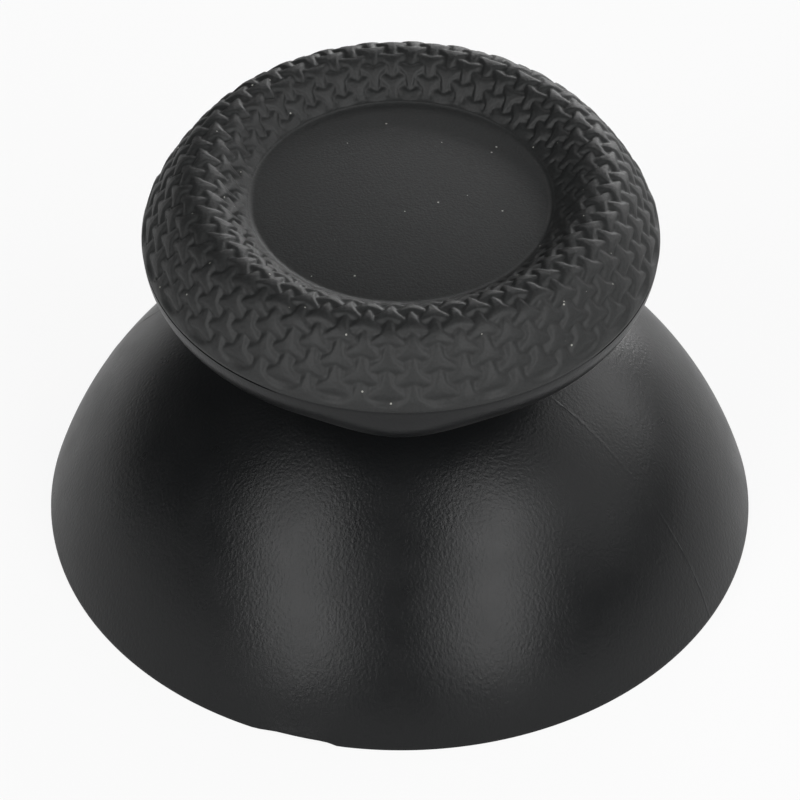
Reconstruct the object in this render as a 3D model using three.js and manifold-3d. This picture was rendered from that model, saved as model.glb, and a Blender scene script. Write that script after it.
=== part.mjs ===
// Thumbstick cap: a hard moulded core, and a soft grip cover moulded over the core's head.
// Millimetres, +Z up. The origin is the middle of the skirt's rim, in the plane that it stands on.

import * as THREE from 'three';
import { mergeVertices } from 'three/addons/utils/BufferGeometryUtils.js';
import Module from 'manifold-3d';

// Skirt: a spherical shell, which stands on its rim and would reach its height on the axis
const RIM_RADIUS = 12.5;
const SKIRT_HEIGHT = 9.43;
const SKIRT_WALL = 1.2;

// Neck between the skirt and the head
const NECK_RADIUS = 4.6;
const NECK_FILLET = 0.9;

// Head of the core: a disc with a fully rounded edge, whose flat top carries the cover
const SEAT_HEIGHT = 12.5;
const DISC_THICKNESS = 1.68;
const DISC_RADIUS = 8.88;

// Socket that the stick's stem is pressed into
const BOSS_RADIUS = 3.3;
const BOSS_END_HEIGHT = 1.2;
const BOSS_FILLET = 0.6;
const SOCKET_RADIUS = 2.0;
const SOCKET_ACROSS_FLATS = 3.0;
const SOCKET_DEPTH = 8.0;

// Grip cover: edge, flank and crest of its ring, then the inner wall down to the pad
const COVER_RADIUS = 8.9;
const COVER_EDGE_RISE = 0.1;
const COVER_EDGE_ROUND = 0.85;
const FLANK_START_ANGLE = 25;
const FLANK_END_ANGLE = 36;
const FLANK_ROUND = 10;
const CREST_ROUND = 1.27;
const WALL_SLOPE_ANGLE = 42.6;
const PAD_RADIUS = 5.15;
const PAD_RISE = 0.3;
const PAD_FILLET = 0.25;

// Seam line where the cover meets the core: a small bevel on both edges
const SEAM_BEVEL = 0.06;

// Grip texture: staggered rows of raised three-armed stars with a hollow between each three
const STARS_AROUND = 30;
const ROW_PITCH = 0.45;
const FIRST_ROW_DISTANCE = 0.35;
const TEXTURE_EDGE_MARGIN = 0.12;
const TEXTURE_WALL_MARGIN = 0.15;
const TEXTURE_TURN_ANGLE = -3;
const HOLLOW_DEPTH = 0.17;
const ARM_TIP_DEPTH = 0.1;
const ARM_REACH = 0.7;
const BORDER_DEPTH = 0.05;

// Faces around the axis: one for each half pitch of the texture, so that its stars fall on the edges
const SEGMENTS = 2 * STARS_AROUND;

// Straight faces along the curves of the turned profiles, and along each rounded end of the socket
const SKIRT_STEPS = 10;
const HOLLOW_STEPS = 7;
const LIP_STEPS = 6;
const PAD_STEPS = 4;
const FILLET_STEPS = 3;
const SOCKET_STEPS = 8;

// Points nearer to each other than this are one point
const MERGE_DISTANCE = 1e-5;

const degrees = (angle) => (angle * Math.PI) / 180;

// Points on an arc in the half plane of a turned profile, both ends included
function arc(centre, radius, startAngle, endAngle, steps) {
  return Array.from({ length: steps + 1 }, (_, step) => {
    const angle = startAngle + ((endAngle - startAngle) * step) / steps;
    return new THREE.Vector2(
      centre.x + radius * Math.cos(angle),
      centre.y + radius * Math.sin(angle),
    );
  });
}

// A closed solid of revolution about Z, from a profile that starts and ends on the axis
function turned(profile) {
  const geometry = new THREE.LatheGeometry(profile, SEGMENTS);
  geometry.rotateX(Math.PI / 2);
  return geometry;
}

// Solids that can be joined and cut
const wasm = await Module();
wasm.setup();

function toSolid(geometry) {
  const bare = geometry.clone();
  bare.deleteAttribute('normal');
  bare.deleteAttribute('uv');
  const merged = mergeVertices(bare, MERGE_DISTANCE);
  return new wasm.Manifold(new wasm.Mesh({
    numProp: 3,
    vertProperties: new Float32Array(merged.attributes.position.array),
    triVerts: new Uint32Array(merged.index.array),
  }));
}

function toGeometry(solid) {
  const mesh = solid.getMesh();
  const geometry = new THREE.BufferGeometry();
  geometry.setAttribute('position', new THREE.BufferAttribute(new Float32Array(mesh.vertProperties), 3));
  geometry.setIndex(new THREE.BufferAttribute(new Uint32Array(mesh.triVerts), 1));
  geometry.computeVertexNormals();
  return geometry;
}

// Sphere through the rim and the skirt's height on the axis; its middle is below the rim's plane
const sphereRadius = (RIM_RADIUS ** 2 + SKIRT_HEIGHT ** 2) / (2 * SKIRT_HEIGHT);
const sphereCentre = new THREE.Vector2(0, SKIRT_HEIGHT - sphereRadius);

// Angle, from the horizontal, at which a circle about the sphere's centre is at a distance from the axis
const angleAtDistance = (circleRadius, distance) => Math.acos(distance / circleRadius);

// Angle at which such a circle meets the rim's plane
const angleAtRim = (circleRadius) => Math.asin(-sphereCentre.y / circleRadius);

// Underside of the disc, and the neck's fillets, which are no larger than the neck has room for:
// the largest ones touch the sphere, the neck and the disc, and meet each other
const undersideHeight = SEAT_HEIGHT - DISC_THICKNESS;
const undersideReach = undersideHeight - sphereCentre.y;
const filletRoom = undersideReach + sphereRadius - NECK_RADIUS;
const largestFillet = filletRoom
  - Math.sqrt(filletRoom ** 2 - undersideReach ** 2 + sphereRadius ** 2 - NECK_RADIUS ** 2);
const neckFillet = Math.min(NECK_FILLET, largestFillet);

// Inside of the core, from the boss's end to the rim
function hollowProfile() {
  const innerRadius = sphereRadius - SKIRT_WALL;
  const filletReach = innerRadius - BOSS_FILLET;
  const filletAngle = angleAtDistance(filletReach, BOSS_RADIUS + BOSS_FILLET);
  const filletCentre = new THREE.Vector2(
    filletReach * Math.cos(filletAngle),
    sphereCentre.y + filletReach * Math.sin(filletAngle),
  );
  return [
    new THREE.Vector2(0, BOSS_END_HEIGHT),
    new THREE.Vector2(BOSS_RADIUS, BOSS_END_HEIGHT),
    ...arc(filletCentre, BOSS_FILLET, Math.PI, filletAngle, FILLET_STEPS),
    ...arc(sphereCentre, innerRadius, filletAngle, angleAtRim(innerRadius), HOLLOW_STEPS).slice(1),
  ];
}

// Outside of the core, from the rim over the skirt, the neck and the disc to the seat
function outsideProfile() {
  const filletReach = sphereRadius + neckFillet;
  const filletAngle = angleAtDistance(filletReach, NECK_RADIUS + neckFillet);
  const lowerFillet = new THREE.Vector2(
    NECK_RADIUS + neckFillet,
    sphereCentre.y + filletReach * Math.sin(filletAngle),
  );
  const upperFillet = new THREE.Vector2(NECK_RADIUS + neckFillet, undersideHeight - neckFillet);
  const lipCentre = new THREE.Vector2(DISC_RADIUS - DISC_THICKNESS, SEAT_HEIGHT);
  const lipEnd = -Math.asin(SEAM_BEVEL / DISC_THICKNESS);
  return [
    ...arc(sphereCentre, sphereRadius, angleAtRim(sphereRadius), filletAngle, SKIRT_STEPS),
    ...arc(lowerFillet, neckFillet, Math.PI + filletAngle, Math.PI, FILLET_STEPS).slice(1),
    ...arc(upperFillet, neckFillet, Math.PI, Math.PI / 2, FILLET_STEPS),
    ...arc(lipCentre, DISC_THICKNESS, -Math.PI / 2, lipEnd, LIP_STEPS),
    new THREE.Vector2(DISC_RADIUS - SEAM_BEVEL, SEAT_HEIGHT),
    new THREE.Vector2(0, SEAT_HEIGHT),
  ];
}

// Round hole with two flats, open at the boss's end and blind above
function socketCutter() {
  const cutterOverrun = 1;
  const halfFlats = SOCKET_ACROSS_FLATS / 2;
  const flatAngle = Math.asin(halfFlats / SOCKET_RADIUS);
  const outline = new THREE.Shape();
  outline.absarc(0, 0, SOCKET_RADIUS, -flatAngle, flatAngle, false);
  outline.absarc(0, 0, SOCKET_RADIUS, Math.PI - flatAngle, Math.PI + flatAngle, false);
  outline.closePath();
  const geometry = new THREE.ExtrudeGeometry(outline, {
    depth: SOCKET_DEPTH + cutterOverrun,
    bevelEnabled: false,
    curveSegments: SOCKET_STEPS,
  });
  geometry.translate(0, 0, BOSS_END_HEIGHT - cutterOverrun);
  return geometry;
}

function stickCore() {
  const body = toSolid(turned([...hollowProfile(), ...outsideProfile()]));
  return toGeometry(body.subtract(toSolid(socketCutter())));
}

// Stretches of the cover's outside, each with its length and a point and a normal at a distance along it
function arcStretch(centre, radius, startAngle, endAngle) {
  return {
    length: radius * Math.abs(endAngle - startAngle),
    at(distance) {
      const angle = startAngle + distance / radius;
      const normal = new THREE.Vector2(Math.cos(angle), Math.sin(angle));
      return { point: normal.clone().multiplyScalar(radius).add(centre), normal };
    },
  };
}

function straightStretch(start, end) {
  const along = end.clone().sub(start).normalize();
  const normal = new THREE.Vector2(along.y, -along.x);
  return {
    length: start.distanceTo(end),
    at: (distance) => ({ point: along.clone().multiplyScalar(distance).add(start), normal }),
  };
}

// Centre of an arc that carries on, without a corner, from another arc at the given angle
function tangentCentre(centre, radius, nextRadius, angle) {
  return new THREE.Vector2(Math.cos(angle), Math.sin(angle))
    .multiplyScalar(radius - nextRadius)
    .add(centre);
}

// Ring of the cover: edge arc, flank arc, crest arc, and the wall that runs down to the pad
const flankStart = degrees(FLANK_START_ANGLE);
const flankEnd = degrees(FLANK_END_ANGLE);
const wallSlope = degrees(WALL_SLOPE_ANGLE);
const crestEnd = Math.PI / 2 + wallSlope;
const edgeCentre = new THREE.Vector2(COVER_RADIUS - COVER_EDGE_ROUND, SEAT_HEIGHT + COVER_EDGE_RISE);
const flankCentre = tangentCentre(edgeCentre, COVER_EDGE_ROUND, FLANK_ROUND, flankStart);
const crestCentre = tangentCentre(flankCentre, FLANK_ROUND, CREST_ROUND, flankEnd);
const crestArc = arcStretch(crestCentre, CREST_ROUND, flankEnd, crestEnd);
const wallTop = crestArc.at(crestArc.length).point;
const wallFoot = new THREE.Vector2(
  PAD_RADIUS,
  wallTop.y - (wallTop.x - PAD_RADIUS) * Math.tan(wallSlope),
);
const ringStretches = [
  arcStretch(edgeCentre, COVER_EDGE_ROUND, 0, flankStart),
  arcStretch(flankCentre, FLANK_ROUND, flankStart, flankEnd),
  crestArc,
  straightStretch(wallTop, wallFoot),
];
const ringLength = ringStretches.reduce((sum, stretch) => sum + stretch.length, 0);

// Point on the ring's outside, at a distance from its edge and a depth below its surface
function ringPoint(distance, depth) {
  let rest = distance;
  let stretch = ringStretches[0];
  for (stretch of ringStretches) {
    if (rest <= stretch.length) break;
    rest -= stretch.length;
  }
  const { point, normal } = stretch.at(Math.min(rest, stretch.length));
  return point.clone().addScaledVector(normal, -depth);
}

// Pad: a low dome inside the ring, with a fillet at the foot of the wall
function padProfile() {
  const domeRadius = (PAD_RADIUS ** 2 + PAD_RISE ** 2) / (2 * PAD_RISE);
  const domeCentre = new THREE.Vector2(0, wallFoot.y + PAD_RISE - domeRadius);
  const edgeSlope = Math.asin(PAD_RADIUS / domeRadius);
  const halfCorner = (wallSlope + edgeSlope) / 2;
  const setBack = PAD_FILLET * Math.tan(halfCorner);
  const wallEnd = new THREE.Vector2(Math.cos(wallSlope), Math.sin(wallSlope))
    .multiplyScalar(setBack)
    .add(wallFoot);
  const filletCentre = new THREE.Vector2(-Math.sin(wallSlope), Math.cos(wallSlope))
    .multiplyScalar(PAD_FILLET)
    .add(wallEnd);
  const filletArc = arc(
    filletCentre,
    PAD_FILLET,
    wallSlope - Math.PI / 2,
    -edgeSlope - Math.PI / 2,
    FILLET_STEPS,
  );
  const domeStart = Math.asin(filletArc.at(-1).x / domeRadius);
  const domeArc = arc(domeCentre, domeRadius, Math.PI / 2 - domeStart, Math.PI / 2, PAD_STEPS);
  return [...filletArc, ...domeArc.slice(1, -1), new THREE.Vector2(0, wallFoot.y + PAD_RISE)];
}

// A closed mesh gathered point by point, with each point shared by its triangles
class ShellBuilder {
  constructor() {
    this.positions = [];
    this.triangles = [];
  }

  point(profilePoint, column) {
    const angle = (2 * Math.PI * column) / SEGMENTS + degrees(TEXTURE_TURN_ANGLE);
    this.positions.push(
      profilePoint.x * Math.cos(angle),
      profilePoint.x * Math.sin(angle),
      profilePoint.y,
    );
    return this.positions.length / 3 - 1;
  }

  ring(profilePoint) {
    return Array.from({ length: SEGMENTS }, (_, column) => this.point(profilePoint, column));
  }

  // Triangles from one corner or middle point to each edge of an open chain of points
  fan(middle, chain) {
    for (let k = 0; k + 1 < chain.length; k += 1) {
      this.triangles.push(middle, chain[k], chain[k + 1]);
    }
  }

  // Band between two rings, the lower one or the outer one first
  band(lower, upper) {
    for (let column = 0; column < SEGMENTS; column += 1) {
      const next = (column + 1) % SEGMENTS;
      this.fan(lower[column], [lower[next], upper[next], upper[column]]);
    }
  }

  geometry() {
    const geometry = new THREE.BufferGeometry();
    geometry.setAttribute('position', new THREE.Float32BufferAttribute(this.positions, 3));
    geometry.setIndex(this.triangles);
    geometry.computeVertexNormals();
    return geometry;
  }
}

// Grip texture between two plain rings: star tops stand on alternate columns of alternate rows.
// Each star sends one arm towards the pad and two, slanting, towards the edge.
function addTexture(shell, firstRing, lastRing, rows) {
  const rowDistance = (row) => FIRST_ROW_DISTANCE + row * ROW_PITCH;
  const wrap = (column) => (column + SEGMENTS) % SEGMENTS;
  const stars = Array.from({ length: rows + 1 }, (_, row) => {
    const onRow = new Map();
    for (let column = row % 2; column < SEGMENTS; column += 2) {
      onRow.set(column, shell.point(ringPoint(rowDistance(row), 0), column));
    }
    return onRow;
  });
  const starAt = (column, row) => stars[row].get(wrap(column));

  // Low point near the end of an arm, which the two triangles beside it share
  const tips = new Map();
  function tip(ownColumn, ownRow, columnStep, rowStep) {
    const key = `${wrap(ownColumn)},${ownRow},${columnStep}`;
    if (!tips.has(key)) {
      const distance = rowDistance(ownRow + ARM_REACH * rowStep);
      const column = ownColumn + ARM_REACH * columnStep;
      tips.set(key, shell.point(ringPoint(distance, ARM_TIP_DEPTH), column));
    }
    return tips.get(key);
  }

  // Hollow to one side of an upward arm: side is 1 to its right and -1 to its left
  function hollow(column, row, side) {
    const foot = starAt(column, row);
    const head = starAt(column, row + 2);
    const flank = starAt(column + side, row + 1);
    const loop = [
      foot,
      tip(column + side, row + 1, -side, -1),
      flank,
      tip(column, row + 2, side, -1),
      head,
      tip(column, row, 0, 2),
      foot,
    ];
    const middle = shell.point(ringPoint(rowDistance(row + 1), HOLLOW_DEPTH), column + side / 3);
    shell.fan(middle, side > 0 ? loop : loop.reverse());
  }

  for (let row = 0; row + 2 <= rows; row += 1) {
    for (let column = row % 2; column < SEGMENTS; column += 2) {
      hollow(column, row, 1);
      hollow(column, row, -1);
    }
  }

  // Plain strips that take the jagged first and last rows to the plain rings
  for (let column = 0; column < SEGMENTS; column += 1) {
    const next = wrap(column + 1);
    const low = column % 2;
    const lowTip = low === 0 ? tip(column + 1, 1, -1, -1) : tip(column, 1, 1, -1);
    shell.fan(firstRing[column], [
      firstRing[next],
      starAt(column + 1, 1 - low),
      lowTip,
      starAt(column, low),
    ]);
    const high = (column + rows) % 2;
    const highTip = high === 0 ? tip(column, rows, 1, -1) : tip(column + 1, rows, -1, -1);
    shell.fan(lastRing[next], [
      lastRing[column],
      starAt(column, rows - high),
      highTip,
      starAt(column + 1, rows - 1 + high),
    ]);
  }
}

function gripCover() {
  const shell = new ShellBuilder();
  const seatMiddle = shell.point(new THREE.Vector2(0, SEAT_HEIGHT), 0);
  const seatRing = shell.ring(new THREE.Vector2(COVER_RADIUS - SEAM_BEVEL, SEAT_HEIGHT));
  const edgeRing = shell.ring(new THREE.Vector2(COVER_RADIUS, SEAT_HEIGHT + SEAM_BEVEL));
  shell.fan(seatMiddle, [...seatRing, seatRing[0]].reverse());
  shell.band(seatRing, edgeRing);

  const lastDistance = ringLength - TEXTURE_WALL_MARGIN;
  const rows = Math.floor((lastDistance - FIRST_ROW_DISTANCE) / ROW_PITCH);
  const firstRing = shell.ring(ringPoint(TEXTURE_EDGE_MARGIN, BORDER_DEPTH));
  const lastRing = shell.ring(ringPoint(lastDistance, BORDER_DEPTH));
  shell.band(edgeRing, firstRing);
  addTexture(shell, firstRing, lastRing, rows);

  const pad = padProfile();
  const padMiddle = pad.pop();
  let outer = lastRing;
  for (const profilePoint of pad) {
    const inner = shell.ring(profilePoint);
    shell.band(outer, inner);
    outer = inner;
  }
  shell.fan(shell.point(padMiddle, 0), [...outer, outer[0]]);
  return shell.geometry();
}

const hardPlastic = new THREE.MeshStandardMaterial({ color: '#222425', roughness: 0.42, metalness: 0 });
const softRubber = new THREE.MeshStandardMaterial({ color: '#282929', roughness: 0.8, metalness: 0 });

function namedMesh(name, geometry, material) {
  const mesh = new THREE.Mesh(geometry, material);
  mesh.name = name;
  return mesh;
}

const thumbstickCap = new THREE.Group();
thumbstickCap.add(namedMesh('stick_core', stickCore(), hardPlastic));
thumbstickCap.add(namedMesh('grip_cover', gripCover(), softRubber));

export default thumbstickCap;
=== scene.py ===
"""Looks of a thumbstick cap: a hard moulded core with a wide round skirt, and a soft grip cover on its head.

Lengths in this file are metres, and MM turns millimetres into them. +Z is up the stick's axis, and the
origin is the middle of the rim that the cap stands on. Sections are drawn in the XZ plane and spun about Z.
"""

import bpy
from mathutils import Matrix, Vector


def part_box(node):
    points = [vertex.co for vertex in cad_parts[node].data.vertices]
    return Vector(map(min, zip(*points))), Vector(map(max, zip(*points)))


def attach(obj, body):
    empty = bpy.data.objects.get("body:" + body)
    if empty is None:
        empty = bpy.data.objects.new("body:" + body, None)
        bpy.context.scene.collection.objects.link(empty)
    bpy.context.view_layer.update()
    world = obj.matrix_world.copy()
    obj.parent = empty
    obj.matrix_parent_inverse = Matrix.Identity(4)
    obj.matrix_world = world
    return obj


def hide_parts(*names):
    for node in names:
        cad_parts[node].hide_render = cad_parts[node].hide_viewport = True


bl_info = {
    "name": "Thumbstick Cap",
    "version": (1, 0, 0),
    "blender": (4, 5, 0),
    "location": "View3D > Sidebar > Thumbstick Cap",
    "description": "Models a thumbstick cap's hard core and soft grip cover, with a plain stage",
    "category": "Object",
}

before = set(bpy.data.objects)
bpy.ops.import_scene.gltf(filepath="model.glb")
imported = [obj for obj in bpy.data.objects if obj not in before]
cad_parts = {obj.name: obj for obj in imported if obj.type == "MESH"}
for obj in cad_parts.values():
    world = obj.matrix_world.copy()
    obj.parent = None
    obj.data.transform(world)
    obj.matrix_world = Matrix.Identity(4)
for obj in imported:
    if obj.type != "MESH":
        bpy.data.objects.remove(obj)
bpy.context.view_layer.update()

import math

import bpy
import numpy as np
from mathutils import Matrix, Vector

_, CORE_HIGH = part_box("stick_core")

MM = 0.001
BODY = "root"

# Points nearer to each other than this are one point
MERGE_DISTANCE = 0.001 * MM

# Faces around the axis, and for the textured ring the faces from one column of stars to the next
CORE_SEGMENTS = 256
STAR_STEPS = 14
PAD_SEGMENTS = 210

# The flash on the lip, in degrees under the lip's level: where it starts, is full, and breaks off
FLASH_START = 6
FLASH_FULL = 50
FLASH_END = 56
FLASH_BREAK = 8

# How near to the lip's arc, and to the bottom of the seam's groove, a point lies that counts as on it
LIP_MARGIN = 0.02 * MM
GROOVE_MARGIN = 0.005 * MM

# The flash in the seam: the share of the groove's depth that it fills, and its ends in degrees from the front
SEAM_CLOSED = 0.97
SEAM_LEFT = (-45, -25)
SEAM_RIGHT = (45, 65)

# Where the bent stretch of the rim starts and ends, in degrees to the right of the front, how far its ends
# fade, and its height
BEND_START = -24
BEND_END = -9.5
BEND_START_FADE = 5
BEND_END_FADE = 2.5
BEND_HEIGHT = 0.9 * MM


def length(name, description, millimetres):
    """A length that a user can change, with its default in millimetres."""
    return bpy.props.FloatProperty(
        name=name, description=description, default=millimetres * MM, precision=6, unit="LENGTH"
    )


def angle(name, description, degrees):
    """An angle that a user can change, with its default in degrees."""
    return bpy.props.FloatProperty(
        name=name, description=description, default=math.radians(degrees), unit="ROTATION"
    )


def share(name, description, default):
    """A number from 0 to 1 that a user can change."""
    return bpy.props.FloatProperty(
        name=name, description=description, default=default, min=0, max=1, subtype="FACTOR"
    )


def linear(hex_colour):
    """Linear red, green and blue of an sRGB colour that is written as six hex digits."""
    levels = [int(hex_colour[k:k + 2], 16) / 255 for k in (1, 3, 5)]
    return [c / 12.92 if c <= 0.04045 else ((c + 0.055) / 1.055) ** 2.4 for c in levels]


def colour(name, description, hex_colour):
    """A colour that a user can change."""
    return bpy.props.FloatVectorProperty(
        name=name, description=description, default=linear(hex_colour), size=3, min=0, max=1, subtype="COLOR"
    )


class CoreSizes(bpy.types.PropertyGroup):
    """Sizes of the hard core."""

    rim_radius: length("Rim radius", "Radius of the rim that the cap stands on", CORE_HIGH.x / MM)
    skirt_height: length("Skirt height", "Height that the skirt's sphere reaches on the axis", 9.43)
    skirt_wall: length("Skirt wall", "Thickness of the skirt", 1.2)
    rim_round: length("Rim rounding", "Rounding of the rim's two edges", 0.07)
    neck_radius: length("Neck radius", "Radius of the neck under the head", 4.6)
    neck_fillet: length("Neck fillet", "Fillets at the neck's foot and top", 0.9)
    seat_height: length("Seat height", "Height of the flat that carries the cover", CORE_HIGH.z / MM)
    disc_thickness: length("Disc thickness", "Thickness of the head's disc, with a fully rounded edge", 1.68)
    disc_radius: length("Disc radius", "Radius of the head's disc", 8.88)
    seam_gap: length("Seam gap", "Height of the fine groove under the cover's edge", 0.05)
    seam_depth: length("Seam depth", "Depth of the fine groove under the cover's edge", 0.14)
    flash_height: length("Flash height", "How far the flash stands out from the lip's front", 0.27)
    flash_half_width: length("Flash half width", "Half width of the flash on the lip's front", 3.3)
    rim_lift: length("Rim lift", "How far the rim is lifted where it is bent at the front", 0.15)
    boss_radius: length("Boss radius", "Radius of the boss around the socket", 3.3)
    boss_end: length("Boss end", "Height of the boss's end over the rim's plane", 1.2)
    boss_fillet: length("Boss fillet", "Fillet between the boss and the skirt's inside", 0.6)
    boss_round: length("Boss rounding", "Rounding of the boss's end", 0.15)
    socket_radius: length("Socket radius", "Radius of the socket's round sides", 2.0)
    socket_flats: length("Socket flats", "Distance between the socket's two flats", 3.0)
    socket_depth: length("Socket depth", "Depth of the socket from the boss's end", 8.0)
    socket_lead: length("Socket lead-in", "Chamfer at the socket's mouth", 0.25)
    parting_turn: angle("Parting turn", "Turn of the mould's parting plane from the front", 62.4)
    parting_offset: length("Parting offset", "Distance of the parting plane from the axis", 0.39)
    parting_width: length("Parting width", "Half width of the fine ridge at the parting plane", 0.05)
    parting_height: length("Parting height", "Height of the fine ridge at the parting plane", 0.008)


class CoverSizes(bpy.types.PropertyGroup):
    """Sizes of the soft grip cover."""

    edge_radius: length("Edge radius", "Radius of the cover at its edge", 8.9)
    edge_rise: length("Edge rise", "Height of the edge arc's middle over the seat", 0.1)
    edge_round: length("Edge rounding", "Radius of the arc at the edge", 0.85)
    flank_start: angle("Flank start", "Slope at which the flank starts", 25)
    flank_end: angle("Flank end", "Slope at which the flank ends", 36)
    flank_round: length("Flank rounding", "Radius of the flank's arc", 10)
    crest_round: length("Crest rounding", "Radius of the crest's arc", 1.27)
    wall_slope: angle("Wall slope", "Slope of the wall that runs down to the pad", 42.6)
    pad_radius: length("Pad radius", "Radius of the pad at the wall's foot", 5.15)
    pad_rise: length("Pad rise", "Height of the pad's low dome", 0.3)
    pad_fillet: length("Pad fillet", "Fillet between the wall and the pad", 0.25)
    seam_bevel: length("Seam bevel", "Bevel along the seam with the core", 0.03)
    stars_around: bpy.props.IntProperty(
        name="Stars around", description="Stars in each row of the grip texture", default=30, min=6
    )
    row_pitch: length("Row pitch", "Distance between two rows of stars", 0.45)
    first_row: length("First row", "Distance of the first row of stars from the edge", 0.35)
    texture_turn: angle("Texture turn", "Turn of the first column of stars from +X", -3)
    hollow_depth: length("Hollow depth", "Depth of the hollows between the stars", 0.15)


# A star's arms, as shares of the pitch from star to star: reach, half width at the middle, and the width of
# the hollow's side next to the middle. ARM_SIDE_LOSS is the share of that width that is lost at the tip.
ARM_REACH = 0.97
ARM_HALF_WIDTH = 0.21
ARM_SIDE_WIDTH = 0.4
ARM_SIDE_LOSS = 0.45
ARM_TIP_HEIGHT = 0.28
ARM_ANGLES = (90, 210, 330)
ARM_TIP_FADE = 0.06

# Powers that shape an arm: how its width and its crest fall towards the tip, and how its side curves
ARM_WIDTH_POWER = 1.2
ARM_CREST_POWER = 1.6
ARM_SIDE_POWER = 1.8

# Where the texture fades out, as distances from the ring's edge and from the wall's foot
EDGE_FADE = (0.02 * MM, 0.3 * MM)
FOOT_FADE = (0.05 * MM, 0.42 * MM)


def place(point):
    """The point in space of a section's point, given as distance from the axis and height."""
    return Vector((point[0], 0, point[1]))


def polar(centre, radius, turn):
    """The section's point at a radius and an angle from a centre."""
    return (centre[0] + radius * math.cos(turn), centre[1] + radius * math.sin(turn))


def deselect():
    """Leaves nothing selected, in object mode."""
    if bpy.context.mode != "OBJECT":
        bpy.ops.object.mode_set(mode="OBJECT")
    bpy.ops.object.select_all(action="DESELECT")


def start_section(name, point):
    """A mesh of one point in the XZ plane, in edit mode, from which a section is drawn."""
    deselect()
    bpy.ops.mesh.primitive_plane_add(size=MM, location=place(point))
    piece = bpy.context.object
    piece.name = name
    piece.data.name = name
    bpy.ops.object.transform_apply(location=True, rotation=False, scale=False)
    bpy.ops.object.mode_set(mode="EDIT")
    bpy.ops.mesh.select_mode(type="VERT")
    bpy.ops.mesh.select_all(action="SELECT")
    bpy.ops.mesh.merge(type="CENTER")
    return piece


def draw_line(start, end, steps=1):
    """Extrudes the section's last point along a straight line."""
    step = (place(end) - place(start)) / steps
    for _ in range(steps):
        bpy.ops.mesh.extrude_region_move(TRANSFORM_OT_translate={"value": step})


def draw_arc(centre, start, end, steps):
    """Spins the section's last point along an arc, from one angle to another."""
    bpy.ops.mesh.spin(
        steps=steps, angle=end - start, center=place(centre), axis=(0, 1, 0), use_auto_merge=False
    )


def spin_section(steps):
    """Spins the whole section round the axis, and closes the seam and the poles."""
    bpy.ops.mesh.select_all(action="SELECT")
    bpy.ops.mesh.spin(steps=steps, angle=2 * math.pi, center=(0, 0, 0), axis=(0, 0, 1))
    bpy.ops.mesh.select_all(action="SELECT")
    bpy.ops.mesh.remove_doubles(threshold=MERGE_DISTANCE)
    bpy.ops.mesh.normals_make_consistent(inside=False)


def read_points(piece):
    """The piece's points as an array, one row each."""
    if bpy.context.mode != "OBJECT":
        bpy.ops.object.mode_set(mode="OBJECT")
    points = np.empty(len(piece.data.vertices) * 3, np.float32)
    piece.data.vertices.foreach_get("co", points)
    return points.reshape(-1, 3).astype(float)


def write_points(piece, points):
    """Gives the piece's points new places."""
    piece.data.vertices.foreach_set("co", points.astype(np.float32).ravel())
    piece.data.update()


def select_points(piece, chosen, mode="VERT"):
    """Selects the points that a mask chooses, and leaves the piece in edit mode."""
    if bpy.context.mode != "OBJECT":
        bpy.ops.object.mode_set(mode="OBJECT")
    data = piece.data
    corners = np.empty(len(data.edges) * 2, np.int32)
    data.edges.foreach_get("vertices", corners)
    data.vertices.foreach_set("select", chosen)
    data.edges.foreach_set("select", chosen[corners.reshape(-1, 2)].all(axis=1))
    for face in data.polygons:
        face.select = all(chosen[k] for k in face.vertices)
    bpy.ops.object.mode_set(mode="EDIT")
    bpy.ops.mesh.select_mode(type=mode)


def finish_piece(piece, node, material, sharp_angle):
    """Shades the piece, sets its material and its body, and hides the solid that it stands for."""
    deselect()
    piece.select_set(True)
    bpy.context.view_layer.objects.active = piece
    bpy.ops.object.shade_smooth_by_angle(angle=sharp_angle)
    piece.data.materials.clear()
    piece.data.materials.append(material)
    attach(piece, BODY)
    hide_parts(node)


def skirt_sphere(sizes):
    """Radius of the sphere that the skirt's outside is cut from."""
    return (sizes.rim_radius ** 2 + sizes.skirt_height ** 2) / (2 * sizes.skirt_height)


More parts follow.
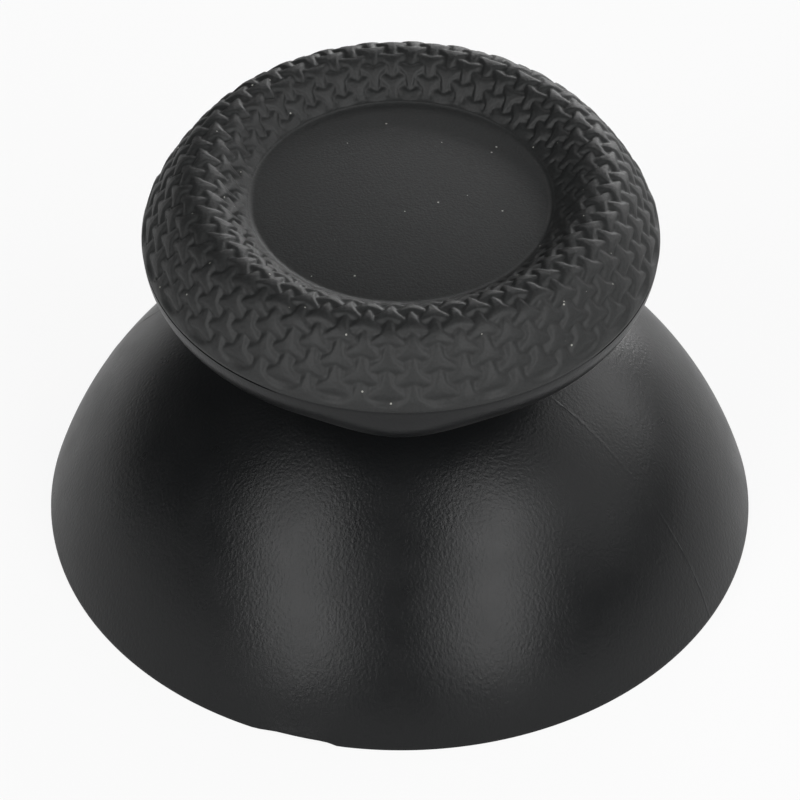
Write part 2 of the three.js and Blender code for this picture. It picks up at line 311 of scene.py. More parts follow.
def core_section(sizes):
    """Draws the core's section, from the boss's end over the hollow, the rim and the outside to the seat."""
    sphere = skirt_sphere(sizes)
    middle = (0, sizes.skirt_height - sphere)
    inner = sphere - sizes.skirt_wall

    def rim_angle(radius):
        return math.asin(-middle[1] / radius)

    boss_reach = inner - sizes.boss_fillet
    boss_angle = math.acos((sizes.boss_radius + sizes.boss_fillet) / boss_reach)
    boss_centre = polar(middle, boss_reach, boss_angle)
    neck_reach = sphere + sizes.neck_fillet
    neck_angle = math.acos((sizes.neck_radius + sizes.neck_fillet) / neck_reach)
    neck_centre = polar(middle, neck_reach, neck_angle)
    underside = sizes.seat_height - sizes.disc_thickness
    top_centre = (sizes.neck_radius + sizes.neck_fillet, underside - sizes.neck_fillet)
    lip_centre = (sizes.disc_radius - sizes.disc_thickness, sizes.seat_height)
    slot_height = sizes.seat_height - sizes.seam_gap
    lip_end = -math.asin(sizes.seam_gap / sizes.disc_thickness)
    seat_edge = (sizes.disc_radius - sizes.seam_depth, sizes.seat_height)

    boss_corner = (sizes.boss_radius, sizes.boss_end)
    boss_top = (sizes.boss_radius, boss_centre[1])
    piece = start_section("stick_core_moulding", (0, sizes.boss_end))
    draw_line((0, sizes.boss_end), boss_corner, 6)
    draw_line(boss_corner, boss_top, 12)
    draw_arc(boss_centre, math.pi, boss_angle, 8)
    draw_arc(middle, boss_angle, rim_angle(inner), 40)
    draw_line(polar(middle, inner, rim_angle(inner)), (sizes.rim_radius, 0), 4)
    draw_arc(middle, rim_angle(sphere), neck_angle, 64)
    draw_arc(neck_centre, math.pi + neck_angle, math.pi, 10)
    draw_line((sizes.neck_radius, neck_centre[1]), (sizes.neck_radius, top_centre[1]), 3)
    draw_arc(top_centre, math.pi, math.pi / 2, 10)
    draw_line((top_centre[0], underside), (lip_centre[0], underside), 6)
    draw_arc(lip_centre, -math.pi / 2, lip_end, 36)
    draw_line(polar(lip_centre, sizes.disc_thickness, lip_end), (seat_edge[0], slot_height))
    draw_line((seat_edge[0], slot_height), seat_edge)
    draw_line(seat_edge, (0, sizes.seat_height), 6)
    return piece


def round_edges(piece, radius, height, size):
    """Rounds a ring of edges that lies at a radius and a height."""
    points = read_points(piece)
    far = np.hypot(points[:, 0], points[:, 1])
    ring = (abs(far - radius) < MERGE_DISTANCE * 5) & (abs(points[:, 2] - height) < MERGE_DISTANCE * 5)
    select_points(piece, ring, "EDGE")
    bpy.ops.mesh.bevel(offset=size, segments=3, affect="EDGES", clamp_overlap=True)
    bpy.ops.object.mode_set(mode="OBJECT")


def raise_parting_line(piece, sizes):
    """Cuts the skirt's outside along the mould's parting plane, and raises a fine ridge there."""
    turn = sizes.parting_turn
    across = Vector((math.cos(turn), math.sin(turn), 0))
    sphere = skirt_sphere(sizes)
    middle = sizes.skirt_height - sphere
    # The last cut, at the plane itself, is the one that stays selected and is raised
    offsets = [k * sizes.parting_width for k in (-3, -1, 1, 3, 0)]
    for offset in offsets:
        points = read_points(piece)
        far = np.hypot(points[:, 0], points[:, 1])
        outside = abs(np.hypot(far, points[:, 2] - middle) - sphere) < MERGE_DISTANCE * 5
        select_points(piece, outside, "FACE")
        bpy.ops.mesh.bisect(
            plane_co=across * (offset - sizes.parting_offset), plane_no=across, threshold=MERGE_DISTANCE / 10
        )
    bpy.ops.transform.shrink_fatten(value=sizes.parting_height)
    bpy.ops.object.mode_set(mode="OBJECT")


def add_moulding_faults(piece, sizes):
    """Adds the mould's faults: flash on the lip's front and in the seam there, and a bent stretch of rim."""
    points = read_points(piece)
    far = np.hypot(points[:, 0], points[:, 1])
    round_middle = sizes.disc_radius - sizes.disc_thickness
    out, down = far - round_middle, sizes.seat_height - points[:, 2]
    reach = np.hypot(out, down)
    turn = np.degrees(np.arctan2(down, out))
    on_lip = (abs(reach - sizes.disc_thickness) < LIP_MARGIN) & (points[:, 1] < 0)
    along = smooth_step(0, 1, 1 - abs(points[:, 0]) / sizes.flash_half_width)
    broken_off = smooth_step(FLASH_END, FLASH_END + FLASH_BREAK, turn)
    over = smooth_step(FLASH_START, FLASH_FULL, turn) * (1 - broken_off)
    growth = np.where(on_lip, 1 + sizes.flash_height * along * over / sizes.disc_thickness, 1)
    points[:, :2] *= ((round_middle + out * growth) / np.maximum(far, MERGE_DISTANCE))[:, None]
    points[:, 2] = sizes.seat_height - down * growth
    front = np.degrees(np.arctan2(points[:, 0], -points[:, 1]))
    bent_left = smooth_step(BEND_START, BEND_START + BEND_START_FADE, front)
    bent = bent_left * (1 - smooth_step(BEND_END - BEND_END_FADE, BEND_END, front))
    near_rim = (far > sizes.rim_radius - 2 * sizes.skirt_wall) & (points[:, 2] < BEND_HEIGHT)
    lift = sizes.rim_lift * bent * (1 - points[:, 2] / BEND_HEIGHT) ** 2
    points[:, 2] += np.where(near_rim, lift, 0)
    closed = SEAM_CLOSED * smooth_step(*SEAM_LEFT, front) * (1 - smooth_step(*SEAM_RIGHT, front))
    at_bottom = abs(far - sizes.disc_radius + sizes.seam_depth) < GROOVE_MARGIN
    in_seam = at_bottom & (down < 1.5 * sizes.seam_gap)
    growth = np.where(in_seam, 1 + sizes.seam_depth * closed / np.maximum(far, MM), 1)
    points[:, :2] *= growth[:, None]
    write_points(piece, points)


def cut_socket(piece, sizes):
    """Cuts the socket, a round hole with two flats and a chamfered mouth, up into the boss."""
    deselect()
    overrun = sizes.socket_lead
    depth = sizes.socket_depth + overrun
    middle = sizes.boss_end - overrun + depth / 2
    bpy.ops.mesh.primitive_cylinder_add(
        vertices=96, radius=sizes.socket_radius, depth=depth, location=(0, 0, middle)
    )
    cutter = bpy.context.object
    bpy.ops.object.transform_apply(location=True, rotation=False, scale=False)
    for side in (-1, 1):
        bpy.ops.object.mode_set(mode="EDIT")
        bpy.ops.mesh.select_all(action="SELECT")
        bpy.ops.mesh.bisect(
            plane_co=(0, side * sizes.socket_flats / 2, 0),
            plane_no=(0, side, 0),
            use_fill=True,
            clear_outer=True,
            threshold=MERGE_DISTANCE / 10,
        )
        bpy.ops.object.mode_set(mode="OBJECT")
    points = read_points(cutter)
    mouth = points[:, 2] < sizes.boss_end
    grown = 1 + 2 * sizes.socket_lead / sizes.socket_flats
    points[mouth, :2] *= grown
    write_points(cutter, points)
    select_points(cutter, mouth, "FACE")
    bpy.ops.mesh.extrude_region_move(TRANSFORM_OT_translate={"value": (0, 0, -overrun)})
    bpy.ops.object.mode_set(mode="OBJECT")
    return cutter


def apply_difference(piece, cutter):
    """Takes the cutter's shape out of the piece, and deletes the cutter."""
    deselect()
    piece.select_set(True)
    bpy.context.view_layer.objects.active = piece
    cut = piece.modifiers.new("cut", "BOOLEAN")
    cut.operation = "DIFFERENCE"
    cut.solver = "EXACT"
    cut.object = cutter
    bpy.ops.object.modifier_apply(modifier=cut.name)
    bpy.data.objects.remove(cutter)


class CAP_OT_stick_core(bpy.types.Operator):
    """Model the hard core: skirt, neck, head disc, boss and socket"""

    bl_idname = "cap.stick_core"
    bl_label = "Stick Core"
    bl_options = {"REGISTER", "UNDO"}

    def execute(self, context):
        sizes = context.scene.cap_core
        material = moulded_abs(context.scene.cap_finishes)
        piece = core_section(sizes)
        spin_section(CORE_SEGMENTS)
        bpy.ops.object.mode_set(mode="OBJECT")
        sphere = skirt_sphere(sizes)
        inner = sphere - sizes.skirt_wall
        inner_rim = math.sqrt(inner ** 2 - (sizes.skirt_height - sphere) ** 2)
        round_edges(piece, sizes.rim_radius, 0, sizes.rim_round)
        round_edges(piece, inner_rim, 0, sizes.rim_round)
        round_edges(piece, sizes.boss_radius, sizes.boss_end, sizes.boss_round)
        raise_parting_line(piece, sizes)
        apply_difference(piece, cut_socket(piece, sizes))
        add_moulding_faults(piece, sizes)
        finish_piece(piece, "stick_core", material, math.radians(35))
        return {"FINISHED"}


def tangent_centre(centre, radius, next_radius, turn):
    """Centre of an arc that carries on, without a corner, from another arc at an angle."""
    return polar(centre, radius - next_radius, turn)


def ring_stretches(sizes):
    """The ring's outside from its edge to the pad's fillet: arcs of edge, flank and crest, then the wall."""
    edge_centre = (sizes.edge_radius - sizes.edge_round, CORE_HIGH.z + sizes.edge_rise)
    flank_centre = tangent_centre(edge_centre, sizes.edge_round, sizes.flank_round, sizes.flank_start)
    crest_centre = tangent_centre(flank_centre, sizes.flank_round, sizes.crest_round, sizes.flank_end)
    crest_end = math.pi / 2 + sizes.wall_slope
    wall_top = polar(crest_centre, sizes.crest_round, crest_end)
    foot = (sizes.pad_radius, wall_top[1] - (wall_top[0] - sizes.pad_radius) * math.tan(sizes.wall_slope))
    dome = dome_radius(sizes)
    half_corner = (sizes.wall_slope + math.asin(sizes.pad_radius / dome)) / 2
    wall_end = polar(foot, sizes.pad_fillet * math.tan(half_corner), sizes.wall_slope)
    arcs = [
        (edge_centre, sizes.edge_round, 0, sizes.flank_start),
        (flank_centre, sizes.flank_round, sizes.flank_start, sizes.flank_end),
        (crest_centre, sizes.crest_round, sizes.flank_end, crest_end),
    ]
    return arcs, wall_top, wall_end, foot


def dome_radius(sizes):
    """Radius of the sphere that the pad's low dome is cut from."""
    return (sizes.pad_radius ** 2 + sizes.pad_rise ** 2) / (2 * sizes.pad_rise)


def ring_length(sizes):
    """Length of the ring's outside, from its edge to the pad's fillet."""
    arcs, wall_top, wall_end, _ = ring_stretches(sizes)
    return sum(radius * (end - start) for _, radius, start, end in arcs) + math.dist(wall_top, wall_end)


def ring_points(sizes, distance, depth):
    """Distance from the axis and height of points at distances along the ring and depths under it."""
    arcs, wall_top, wall_end, _ = ring_stretches(sizes)
    far = np.zeros_like(distance)
    high = np.zeros_like(distance)
    start_distance = 0.0
    for centre, radius, start, end in arcs:
        here = distance >= start_distance
        turn = start + (distance[here] - start_distance) / radius
        far[here] = centre[0] + (radius - depth[here]) * np.cos(turn)
        high[here] = centre[1] + (radius - depth[here]) * np.sin(turn)
        start_distance += radius * (end - start)
    here = distance >= start_distance
    rest = distance[here] - start_distance
    slope = sizes.wall_slope
    far[here] = wall_top[0] - rest * math.cos(slope) + depth[here] * math.sin(slope)
    high[here] = wall_top[1] - rest * math.sin(slope) - depth[here] * math.cos(slope)
    return far, high


def smooth_step(low, high, value):
    """0 below low, 1 above high, and an even curve between."""
    t = np.clip((value - low) / (high - low), 0, 1)
    return t * t * (3 - 2 * t)


def star_heights(column, row, last_row):
    """Height of the stars, from 0 in the hollows to 1 at their middles, at places in columns and rows.

    Stars stand on every second column of every second row. Each sends one arm up towards the pad and
    two, slanting, down to the edge, and each arm narrows and sinks until it ends behind the next star.
    """
    wide = math.sqrt(3) / 2
    x = column * wide
    y = row / 2
    heights = np.zeros_like(column)
    first_column = np.floor(column)
    first_row = np.floor(row)
    for column_step in range(-1, 3):
        for row_step in range(-2, 4):
            star_column = first_column + column_step
            star_row = first_row + row_step
            real = ((star_column + star_row) % 2 == 0) & (star_row >= 0) & (star_row <= last_row)
            dx = x - star_column * wide
            dy = y - star_row / 2
            for arm_angle in ARM_ANGLES:
                turn = math.radians(arm_angle)
                along = dx * math.cos(turn) + dy * math.sin(turn)
                across = abs(dy * math.cos(turn) - dx * math.sin(turn))
                reached = np.clip(along / ARM_REACH, 0, 1)
                half_width = ARM_HALF_WIDTH * (1 - reached) ** ARM_WIDTH_POWER
                side_width = ARM_SIDE_WIDTH * (1 - ARM_SIDE_LOSS * reached)
                side = np.clip((across - half_width) / side_width, 0, 1)
                crest = 1 - (1 - ARM_TIP_HEIGHT) * reached ** ARM_CREST_POWER
                tip = 1 - smooth_step(ARM_REACH - ARM_TIP_FADE, ARM_REACH + ARM_TIP_FADE, along)
                arm = np.where(along > -0.02, crest * (1 - side) ** ARM_SIDE_POWER * tip, 0)
                heights = np.maximum(heights, np.where(real, arm, 0))
    return heights


def cover_rows(sizes):
    """Distances along the ring of the grid's rows: they pass through the stars, and end on plain rings."""
    whole = ring_length(sizes)
    step = 2 * sizes.row_pitch / STAR_STEPS
    through_stars = sizes.first_row + sizes.row_pitch / 2
    first = through_stars - math.floor((through_stars - step / 2) / step) * step
    rows = np.arange(first, whole - step / 2, step)
    return np.concatenate([[0], rows, [whole]])


class CAP_OT_grip_cover(bpy.types.Operator):
    """Model the soft grip cover: textured ring, wall and pad"""

    bl_idname = "cap.grip_cover"
    bl_label = "Grip Cover"
    bl_options = {"REGISTER", "UNDO"}

    def execute(self, context):
        sizes = context.scene.cap_cover
        material = soft_touch_rubber(context.scene.cap_finishes)
        rows = cover_rows(sizes)
        ring = textured_ring(sizes, rows)
        add_pad(ring, sizes)
        finish_piece(ring, "grip_cover", material, math.radians(50))
        return {"FINISHED"}


def textured_ring(sizes, rows):
    """The ring as a fine grid of rows and columns, sunk between the stars."""
    columns = 2 * sizes.stars_around
    steps = columns * STAR_STEPS
    seat = CORE_HIGH.z
    seat_edge = (sizes.edge_radius - sizes.seam_bevel, seat)
    ring_edge = (sizes.edge_radius, seat + sizes.seam_bevel)
    piece = start_section("grip_cover_moulding", seat_edge)
    draw_line(seat_edge, ring_edge)
    spacing = ring_length(sizes) / (len(rows) - 1)
    # A straight line for now: row k lies k steps above the edge, until the points get their places
    draw_line(ring_edge, (sizes.edge_radius, ring_edge[1] + spacing * (len(rows) - 1)), len(rows) - 1)
    spin_section(steps)
    bpy.ops.object.mode_set(mode="OBJECT")
    points = read_points(piece)
    on_grid = points[:, 2] > ring_edge[1] - MERGE_DISTANCE
    row_number = np.rint((points[on_grid, 2] - ring_edge[1]) / spacing).astype(int)
    around = np.arctan2(points[on_grid, 1], points[on_grid, 0])
    column = (around - sizes.texture_turn) * columns / (2 * math.pi)
    distance, depth = carve(sizes, rows, row_number, column)
    far, high = ring_points(sizes, distance, depth)
    points[on_grid, 0] = far * np.cos(around)
    points[on_grid, 1] = far * np.sin(around)
    points[on_grid, 2] = high
    write_points(piece, points)
    return piece


def carve(sizes, rows, row_number, column):
    """Distances along the ring and depths of the grid's points: the rows zigzag along the stars' arms."""
    whole = rows[-1]
    level = rows[row_number]
    zigzag = 1 - abs(1 - column % 2) - 0.5
    room = np.minimum(level, whole - level)
    distance = level + sizes.row_pitch * zigzag * np.clip(room / (0.8 * sizes.row_pitch), 0, 1)
    row = (distance - sizes.first_row) / sizes.row_pitch
    last_row = math.floor((whole - sizes.first_row) / sizes.row_pitch)
    heights = star_heights(column, row, last_row)
    border = smooth_step(*EDGE_FADE, distance) * smooth_step(*FOOT_FADE, whole - distance)
    relief = sizes.hollow_depth * (1 - heights) * border
    return distance, relief


def add_pad(piece, sizes):
    """Adds the fillet at the wall's foot, the pad's dome and the seat to the ring, and closes it."""
    _, _, wall_end, foot = ring_stretches(sizes)
    dome = dome_radius(sizes)
    dome_centre = (0, foot[1] + sizes.pad_rise - dome)
    edge_slope = math.asin(sizes.pad_radius / dome)
    fillet_centre = polar(wall_end, sizes.pad_fillet, sizes.wall_slope + math.pi / 2)
    fillet_start = sizes.wall_slope - math.pi / 2
    fillet_end = -edge_slope - math.pi / 2
    dome_edge = polar(fillet_centre, sizes.pad_fillet, fillet_end)
    dome_start = math.pi / 2 - math.asin(dome_edge[0] / dome)
    pad = start_section("pad", polar(fillet_centre, sizes.pad_fillet, fillet_start))
    draw_arc(fillet_centre, fillet_start, fillet_end, 10)
    draw_arc(dome_centre, dome_start, math.pi / 2, 48)
    spin_section(PAD_SEGMENTS)
    bpy.ops.object.mode_set(mode="OBJECT")
    deselect()
    pad.select_set(True)
    piece.select_set(True)
    bpy.context.view_layer.objects.active = piece
    bpy.ops.object.join()
    bpy.ops.object.mode_set(mode="EDIT")
    bpy.ops.mesh.select_mode(type="EDGE")
    bpy.ops.mesh.select_all(action="SELECT")
    bpy.ops.mesh.region_to_loop()
    bpy.ops.object.mode_set(mode="OBJECT")
    points = read_points(piece)
    above_seat = points[:, 2] > CORE_HIGH.z + sizes.seam_bevel / 2
    edge_selected = np.empty(len(piece.data.vertices), bool)
    piece.data.vertices.foreach_get("select", edge_selected)
    select_points(piece, edge_selected & above_seat, "EDGE")
    bpy.ops.mesh.bridge_edge_loops()
    bpy.ops.object.mode_set(mode="OBJECT")
    select_points(piece, edge_selected & ~above_seat, "EDGE")
    bpy.ops.mesh.edge_face_add()
    bpy.ops.mesh.select_all(action="SELECT")
    bpy.ops.mesh.normals_make_consistent(inside=False)
    bpy.ops.object.mode_set(mode="OBJECT")


DUST_COLOUR = "#9a9a94"


class Finishes(bpy.types.PropertyGroup):
    """Colours of the two moulded materials."""

    plastic: colour("Plastic", "Colour of the hard core", "#141516")
    plastic_roughness: share("Plastic roughness", "Roughness of the core's moulded surface", 0.3)
    rubber: colour("Rubber", "Colour of the grip cover", "#232424")
    rubber_roughness: share("Rubber roughness", "Roughness of the grip cover", 0.5)


def add_node(tree, kind, inputs=None, **settings):
    """Adds a node with its settings; each input gets a value, or a link from a socket."""
    node = tree.nodes.new(kind)
    for name, value in settings.items():
        setattr(node, name, value)
    for name, value in (inputs or {}).items():
        if isinstance(value, bpy.types.NodeSocket):
            tree.links.new(value, node.inputs[name])
        else:
            node.inputs[name].default_value = value
    return node


def new_material(name):
    """An empty material and its tree."""
    material = bpy.data.materials.new(name)
    material.use_nodes = True
    material.node_tree.nodes.clear()
    return material, material.node_tree


def moulded_abs(finishes):
    """ABS moulded in a finely eroded steel tool: near black, half gloss, with a fine leathery grain."""
    grain_width = 0.11 * MM
    mottle_width = 1.5 * MM
    material, tree = new_material("moulded_abs_fine_grain")
    coordinates = add_node(tree, "ShaderNodeTexCoord")
    stretched = add_node(
        tree, "ShaderNodeMapping", {"Vector": coordinates.outputs["Object"], "Scale": (1, 1, 0.6)}
    )
    grain = add_node(
        tree,
        "ShaderNodeTexNoise",
        {"Vector": stretched.outputs["Vector"], "Scale": 1 / grain_width, "Detail": 3.0, "Roughness": 0.55},
    )
    bump = add_node(
        tree,
        "ShaderNodeBump",
        {"Height": grain.outputs["Fac"], "Strength": 1.0, "Distance": 0.012 * MM},
    )
    mottle = add_node(
        tree,
        "ShaderNodeTexNoise",
        {"Vector": coordinates.outputs["Object"], "Scale": 1 / mottle_width, "Detail": 2.0},
    )
    roughness = add_node(
        tree,
        "ShaderNodeMapRange",
        {
            "Value": mottle.outputs["Fac"],
            "From Min": 0.3,
            "From Max": 0.7,
            "To Min": finishes.plastic_roughness - 0.03,
            "To Max": finishes.plastic_roughness + 0.03,
        },
    )
    shader = add_node(
        tree,
        "ShaderNodeBsdfPrincipled",
        {
            "Base Color": (*finishes.plastic, 1),
            "Roughness": roughness.outputs["Result"],
            "Normal": bump.outputs["Normal"],
            "Specular IOR Level": 0.3,
        },
    )
    add_node(tree, "ShaderNodeOutputMaterial", {"Surface": shader.outputs["BSDF"]})
    return material


def soft_touch_rubber(finishes):
    """Thermoplastic rubber moulded in a sanded tool: dark grey, matte, finely grained and a little dusty."""
    grain_width = 0.09 * MM
    dust_spacing = 0.8 * MM
    dust_radius = 0.035 * MM
    material, tree = new_material("soft_touch_rubber")
    coordinates = add_node(tree, "ShaderNodeTexCoord")
    grain = add_node(
        tree,
        "ShaderNodeTexNoise",
        {"Vector": coordinates.outputs["Object"], "Scale": 1 / grain_width, "Detail": 3.0, "Roughness": 0.6},
    )
    bump = add_node(
        tree,
        "ShaderNodeBump",
        {"Height": grain.outputs["Fac"], "Strength": 1.0, "Distance": 0.012 * MM},
    )
    tone = add_node(
        tree,
        "ShaderNodeMapRange",
        {"Value": grain.outputs["Fac"], "From Min": 0.3, "From Max": 0.7, "To Min": 0.72, "To Max": 1.28},
    )
    tinted = add_node(
        tree,
        "ShaderNodeMix",
        data_type="RGBA",
        blend_type="MULTIPLY",
    )
    tinted.inputs["Factor"].default_value = 1.0
    tinted.inputs["A"].default_value = (*finishes.rubber, 1)
    tree.links.new(tone.outputs["Result"], tinted.inputs["B"])
    cells = add_node(
        tree, "ShaderNodeTexVoronoi", {"Vector": coordinates.outputs["Object"], "Scale": 1 / dust_spacing}
    )
    speck = add_node(
        tree,
        "ShaderNodeMath",
        {0: cells.outputs["Distance"], 1: dust_radius / dust_spacing},
        operation="LESS_THAN",
    )
    dusted = add_node(tree, "ShaderNodeMix", data_type="RGBA")
    tree.links.new(speck.outputs["Value"], dusted.inputs["Factor"])
    tree.links.new(tinted.outputs["Result"], dusted.inputs["A"])
    dusted.inputs["B"].default_value = (*linear(DUST_COLOUR), 1)
    shader = add_node(
        tree,
        "ShaderNodeBsdfPrincipled",
        {
            "Base Color": dusted.outputs["Result"],
            "Roughness": finishes.rubber_roughness,
            "Normal": bump.outputs["Normal"],
            "Specular IOR Level": 0.4,
        },
    )
    add_node(tree, "ShaderNodeOutputMaterial", {"Surface": shader.outputs["BSDF"]})
    return material


# Softboxes round the cap: azimuth and elevation in degrees, width and height in metres, tilt in degrees and
# power in watts. Azimuth 0 is the front, where the camera is, and 90 is the right.
LIGHT_DISTANCE = 0.5
SOFTBOXES = (
    ("back_right_key", 160, 10, 0.30, 0.18, 0, 1.1),
    ("back_box", 182, 36, 0.20, 0.14, 0, 0.18),
    ("right_back_box", 126, 24, 0.20, 0.24, 0, 0.32),
    ("right_wide_box", 96, 32, 0.44, 0.32, 0, 0.45),
    ("front_left_strip", -39, 33, 0.24, 0.56, 29, 1.45),
    ("front_right_strip", 37, 35, 0.24, 0.56, -27, 1.55),
    ("left_low_box", -78, 8, 0.40, 0.16, 0, 0.08),
)

# The room's own dim light, as a share of white
ROOM_LIGHT = 0.03

# Part of the white sheet's look that is plain white to the camera; the rest of it keeps the shadow
FLOOR_WHITE = 0.9

# Part of the white backdrop's strength that the cap's gloss shows
GLOSS_SHARE = 0.25

# Height over the horizon, as the Z of a direction, up to which gloss shows the backdrop
BACKDROP_TOP = 0.15

# The point on the axis that the lamps and the camera are set out from
AIM = (0, 0, 8 * MM)

# The camera's turn away from its aim, in pixels of an 800 pixel image, with its focal length in the same
# pixels, and its roll in degrees
FOCAL_PIXELS = 5710
DIP_PIXELS = 67.4
PAN_PIXELS = -0.2
CAMERA_ROLL = 0.24


class StageSettings(bpy.types.PropertyGroup):
    """Settings of the camera."""

    camera_distance: length("Camera distance", "Distance of the camera from its aim", 200)
    camera_elevation: angle("Camera elevation", "Angle of the camera over the horizon", 42.58)
    lens: bpy.props.FloatProperty(name="Lens", description="Focal length in millimetres", default=258.1)


def pale_floor():
    """White sheet that the cap stands on: it shows near white to the camera, and keeps the shadow."""
    material, tree = new_material("white_sheet")
    seen = seen_factor(tree)
    lit = add_node(tree, "ShaderNodeBsdfDiffuse", {"Color": (0.85, 0.85, 0.85, 1)})
    glow = add_node(tree, "ShaderNodeEmission", {"Color": (1, 1, 1, 1), "Strength": 1.0})
    part = add_node(tree, "ShaderNodeMath", {0: seen, 1: FLOOR_WHITE}, operation="MULTIPLY")
    mixed = add_node(
        tree,
        "ShaderNodeMixShader",
        {0: part.outputs["Value"], 1: lit.outputs["BSDF"], 2: glow.outputs["Emission"]},
    )
    add_node(tree, "ShaderNodeOutputMaterial", {"Surface": mixed.outputs["Shader"]})
    return material


def seen_factor(tree, height_fade=None):
    """1 for the camera's rays, the gloss share for rays by way of gloss and glass, and 0 for others."""
    path = add_node(tree, "ShaderNodeLightPath")
    mirrored = add_node(
        tree,
        "ShaderNodeMath",
        {0: path.outputs["Is Glossy Ray"], 1: path.outputs["Is Transmission Ray"]},
        operation="MAXIMUM",
    )
    shared = add_node(
        tree, "ShaderNodeMath", {0: mirrored.outputs["Value"], 1: GLOSS_SHARE}, operation="MULTIPLY"
    )
    if height_fade is not None:
        shared = add_node(
            tree, "ShaderNodeMath", {0: shared.outputs["Value"], 1: height_fade}, operation="MULTIPLY"
        )
    seen = add_node(
        tree,
        "ShaderNodeMath",
        {0: path.outputs["Is Camera Ray"], 1: shared.outputs["Value"]},
        operation="MAXIMUM",
    )
    return seen.outputs["Value"]


def add_light(name, position, size, tilt, power, aim):
    """A soft area light that faces its aim; size is its width and height."""
    deselect()
    bpy.ops.object.light_add(type="AREA", location=position)
    light = bpy.context.object
    light.name = name
    light.data.shape = "RECTANGLE"
    light.data.size = size[0]
    light.data.size_y = size[1]
    light.data.energy = power
    light.visible_camera = False
    facing = (Vector(aim) - position).to_track_quat("-Z", "Y").to_matrix()
    light.rotation_euler = (facing @ Matrix.Rotation(tilt, 3, "Z")).to_euler()
    return light


def around(azimuth, elevation, distance):
    """A point at a direction from the cap's middle: azimuth 0 is the front, and 90 is the right."""
    turn, rise = math.radians(azimuth), math.radians(elevation)
    return Vector(
        (
            distance * math.sin(turn) * math.cos(rise),
            -distance * math.cos(turn) * math.cos(rise),
            distance * math.sin(rise),
        )
    )


class CAP_OT_stage(bpy.types.Operator):
    """Add the camera, the lights, the floor and the background"""

    bl_idname = "cap.stage"
    bl_label = "Stage"
    bl_options = {"REGISTER", "UNDO"}

    def execute(self, context):
        settings = context.scene.cap_stage
        add_camera(settings)
        deselect()
        bpy.ops.mesh.primitive_plane_add(size=4, location=(0, 0, 0))
        floor = bpy.context.object
        floor.name = "floor"
        floor.data.materials.append(pale_floor())
        for name, azimuth, elevation, width, height, tilt, power in SOFTBOXES:
            position = around(azimuth, elevation, LIGHT_DISTANCE)
            add_light(name, position, (width, height), math.radians(tilt), power, AIM)
        set_world(context)
        view = context.scene.view_settings
        view.view_transform = "Standard"
        return {"FINISHED"}


def add_camera(settings):
    """The camera at the photograph's angle: its aim lies a little above the middle of the view."""
    deselect()
    aim = Vector(AIM)
    rise = settings.camera_elevation
    back = Vector((0, -math.cos(rise), math.sin(rise)))
    bpy.ops.object.camera_add(location=aim + back * settings.camera_distance)
    camera = bpy.context.object
    camera.data.lens = settings.lens
    camera.data.sensor_width = 36
    camera.data.clip_start = 0.01
    dip = math.atan2(DIP_PIXELS, FOCAL_PIXELS)
    pan = math.atan2(PAN_PIXELS, FOCAL_PIXELS)
    roll = math.radians(CAMERA_ROLL)
    turn = Matrix.Rotation(math.pi / 2 - rise, 3, "X") @ Matrix.Rotation(-dip, 3, "X")
    turn = turn @ Matrix.Rotation(-pan, 3, "Y") @ Matrix.Rotation(roll, 3, "Z")
    camera.rotation_euler = turn.to_euler()
    bpy.context.scene.camera = camera


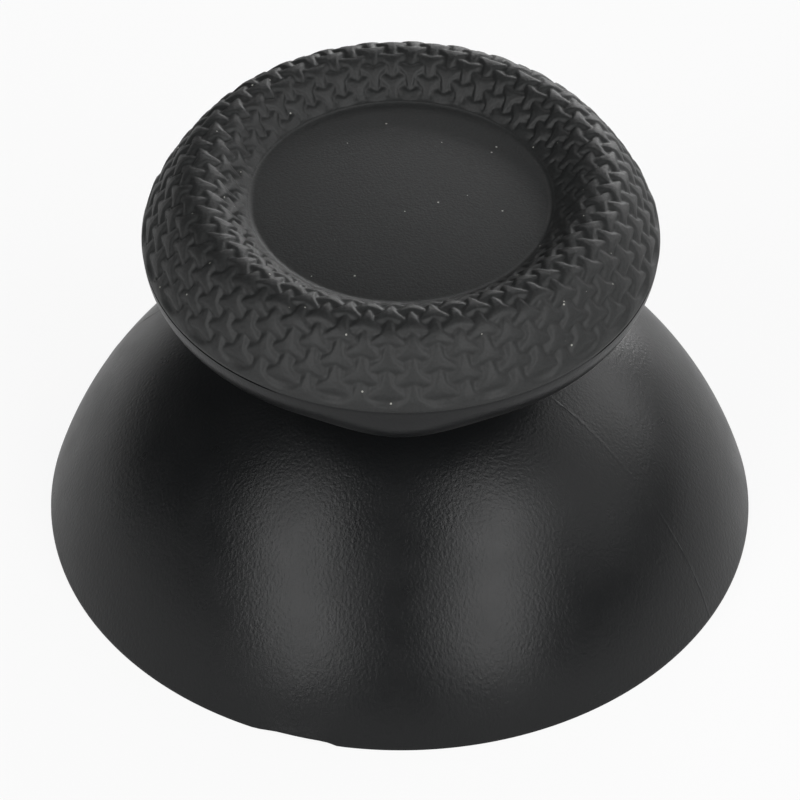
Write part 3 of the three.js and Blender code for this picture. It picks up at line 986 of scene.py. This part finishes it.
def set_world(context):
    """A white backdrop, which gloss shows near the horizon and the camera all over, in a dim room."""
    world = bpy.data.worlds.new("studio")
    context.scene.world = world
    world.use_nodes = True
    tree = world.node_tree
    tree.nodes.clear()
    direction = add_node(tree, "ShaderNodeTexCoord")
    parts = add_node(tree, "ShaderNodeSeparateXYZ", {"Vector": direction.outputs["Generated"]})
    backdrop = add_node(
        tree,
        "ShaderNodeMapRange",
        {
            "Value": parts.outputs["Z"],
            "From Min": 0.0,
            "From Max": BACKDROP_TOP,
            "To Min": 1.0,
            "To Max": 0.0,
        },
        interpolation_type="SMOOTHSTEP",
    )
    seen = seen_factor(tree, backdrop.outputs["Result"])
    dim = add_node(tree, "ShaderNodeBackground", {"Color": (1, 1, 1, 1), "Strength": ROOM_LIGHT})
    white = add_node(tree, "ShaderNodeBackground", {"Color": (1, 1, 1, 1), "Strength": 1.0})
    mixed = add_node(
        tree,
        "ShaderNodeMixShader",
        {0: seen, 1: dim.outputs["Background"], 2: white.outputs["Background"]},
    )
    add_node(tree, "ShaderNodeOutputWorld", {"Surface": mixed.outputs["Shader"]})


class VIEW3D_PT_thumbstick_cap(bpy.types.Panel):
    """Lists the cap's pieces and their sizes"""

    bl_idname = "VIEW3D_PT_thumbstick_cap"
    bl_label = "Thumbstick Cap"
    bl_space_type = "VIEW_3D"
    bl_region_type = "UI"
    bl_category = "Thumbstick Cap"

    def draw(self, context):
        scene = context.scene
        for group, operators in (
            (scene.cap_core, ["cap.stick_core"]),
            (scene.cap_cover, ["cap.grip_cover"]),
            (scene.cap_finishes, []),
            (scene.cap_stage, ["cap.stage"]),
        ):
            box = self.layout.box()
            for name in group.__annotations__:
                box.prop(group, name)
            for operator in operators:
                box.operator(operator)


CLASSES = (
    CoreSizes,
    CoverSizes,
    Finishes,
    StageSettings,
    CAP_OT_stick_core,
    CAP_OT_grip_cover,
    CAP_OT_stage,
    VIEW3D_PT_thumbstick_cap,
)

GROUPS = {
    "cap_core": CoreSizes,
    "cap_cover": CoverSizes,
    "cap_finishes": Finishes,
    "cap_stage": StageSettings,
}


def register():
    """Registers the classes, and puts the groups of sizes on the scene."""
    for cls in CLASSES:
        bpy.utils.register_class(cls)
    for name, group in GROUPS.items():
        setattr(bpy.types.Scene, name, bpy.props.PointerProperty(type=group))


def unregister():
    """Takes the groups and the classes away again."""
    for name in GROUPS:
        delattr(bpy.types.Scene, name)
    for cls in reversed(CLASSES):
        bpy.utils.unregister_class(cls)


def main():
    """Builds the stage and the two pieces."""
    register()
    bpy.ops.cap.stage()
    bpy.ops.cap.stick_core()
    bpy.ops.cap.grip_cover()
    deselect()


if __name__ == "__main__":
    main()
